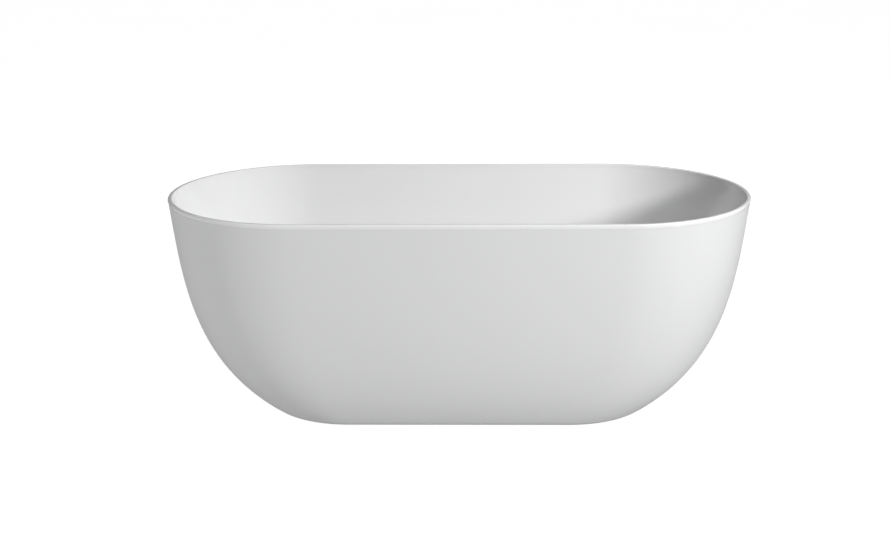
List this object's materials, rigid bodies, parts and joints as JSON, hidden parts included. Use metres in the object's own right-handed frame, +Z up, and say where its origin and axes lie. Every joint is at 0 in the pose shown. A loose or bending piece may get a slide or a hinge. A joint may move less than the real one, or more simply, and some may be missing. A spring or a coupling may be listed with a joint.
{
  "type": "freestanding bathtub",
  "caption": "Freestanding double-skinned oval bathtub with a thin rounded rim, curved apron, pop-up waste, overflow and screw feet.",
  "frame": {"origin": "on the floor, under the middle of the tub", "axes": "+X along the tub's length, towards the end with the third foot's side; +Z up; the overflow is on the -Y side"},
  "size_m": [1.6, 0.75, 0.6],
  "materials": {
    "white_acrylic_gloss": "glossy cast acrylic",
    "white_acrylic_satin": "satin-gloss cast acrylic",
    "fibreglass": "rough sprayed glass fibre and resin",
    "adhesive": "cured structural adhesive",
    "plywood": "unfinished birch plywood",
    "zinc_steel": "bright zinc-plated steel",
    "chrome": "polished chrome",
    "rubber": "matte black rubber",
    "white_plastic": "moulded polypropylene",
    "nylon": "moulded black nylon"
  },
  "bodies": {
    "tub": {"basin": "white_acrylic_gloss", "apron": "white_acrylic_satin", "basin_backing": "fibreglass", "apron_backing": "fibreglass", "rim_bond_bead": "adhesive", "base_board": "plywood", "foot_bar_left": "zinc_steel", "foot_bar_middle": "zinc_steel", "foot_bar_right": "zinc_steel", "board_screw_1": "zinc_steel", "board_screw_2": "zinc_steel", "board_screw_3": "zinc_steel", "board_screw_4": "zinc_steel", "board_screw_5": "zinc_steel", "board_screw_6": "zinc_steel", "apron_tie_front_left": "zinc_steel", "apron_tie_back_left": "zinc_steel", "apron_tie_front_right": "zinc_steel", "apron_tie_back_right": "zinc_steel", "foot_1_lock_nut": "zinc_steel", "foot_2_lock_nut": "zinc_steel", "foot_3_lock_nut": "zinc_steel", "foot_4_lock_nut": "zinc_steel", "foot_5_lock_nut": "zinc_steel", "waste_flange": "chrome", "waste_gasket_upper": "rubber", "waste_gasket_lower": "rubber", "waste_body": "white_plastic", "waste_nut": "white_plastic", "plug_cartridge": "nylon", "plug_spring": "zinc_steel", "overflow_seat": "chrome", "overflow_cover": "chrome", "overflow_gasket": "rubber", "overflow_elbow": "white_plastic", "overflow_hose": "white_plastic", "hose_clip_upper": "zinc_steel", "hose_clip_lower": "zinc_steel"},
    "plug": {"plug_cap": "chrome", "plug_seal": "rubber", "plug_stem": "zinc_steel"},
    "foot_1": {"foot_1_sole": "rubber", "foot_1_cup": "nylon"},
    "foot_1_screw": {"foot_1_stud": "zinc_steel"},
    "foot_2": {"foot_2_sole": "rubber", "foot_2_cup": "nylon"},
    "foot_2_screw": {"foot_2_stud": "zinc_steel"},
    "foot_3": {"foot_3_sole": "rubber", "foot_3_cup": "nylon"},
    "foot_3_screw": {"foot_3_stud": "zinc_steel"},
    "foot_4": {"foot_4_sole": "rubber", "foot_4_cup": "nylon"},
    "foot_4_screw": {"foot_4_stud": "zinc_steel"},
    "foot_5": {"foot_5_sole": "rubber", "foot_5_cup": "nylon"},
    "foot_5_screw": {"foot_5_stud": "zinc_steel"}
  },
  "joints": [
    {"name": "plug_lift", "type": "slide", "parent": "tub", "child": "plug", "axis": [0, 0, 1], "range_m": [0, 0.009], "deforming": ["plug_spring"]},
    {"name": "foot_1_extend", "type": "slide", "parent": "tub", "child": "foot_1", "axis": [0, 0, -1], "range_m": [0, 0.02]},
    {"name": "foot_1_turn", "type": "hinge", "parent": "foot_1", "child": "foot_1_screw", "pos_m": [-0.32, -0.175, 0.012], "axis": [0, 0, -1], "range_deg": [0, 4115]},
    {"name": "foot_2_extend", "type": "slide", "parent": "tub", "child": "foot_2", "axis": [0, 0, -1], "range_m": [0, 0.02]},
    {"name": "foot_2_turn", "type": "hinge", "parent": "foot_2", "child": "foot_2_screw", "pos_m": [-0.32, 0.175, 0.012], "axis": [0, 0, -1], "range_deg": [0, 4115]},
    {"name": "foot_3_extend", "type": "slide", "parent": "tub", "child": "foot_3", "axis": [0, 0, -1], "range_m": [0, 0.02]},
    {"name": "foot_3_turn", "type": "hinge", "parent": "foot_3", "child": "foot_3_screw", "pos_m": [0.14, 0, 0.012], "axis": [0, 0, -1], "range_deg": [0, 4115]},
    {"name": "foot_4_extend", "type": "slide", "parent": "tub", "child": "foot_4", "axis": [0, 0, -1], "range_m": [0, 0.02]},
    {"name": "foot_4_turn", "type": "hinge", "parent": "foot_4", "child": "foot_4_screw", "pos_m": [0.32, -0.175, 0.012], "axis": [0, 0, -1], "range_deg": [0, 4115]},
    {"name": "foot_5_extend", "type": "slide", "parent": "tub", "child": "foot_5", "axis": [0, 0, -1], "range_m": [0, 0.02]},
    {"name": "foot_5_turn", "type": "hinge", "parent": "foot_5", "child": "foot_5_screw", "pos_m": [0.32, 0.175, 0.012], "axis": [0, 0, -1], "range_deg": [0, 4115]}
  ],
  "couplings": [
    {"joint": "foot_1_turn", "follows": "foot_1_extend", "rad_per_m": 3590.4},
    {"joint": "foot_2_turn", "follows": "foot_2_extend", "rad_per_m": 3590.4},
    {"joint": "foot_3_turn", "follows": "foot_3_extend", "rad_per_m": 3590.4},
    {"joint": "foot_4_turn", "follows": "foot_4_extend", "rad_per_m": 3590.4},
    {"joint": "foot_5_turn", "follows": "foot_5_extend", "rad_per_m": 3590.4}
  ]
}
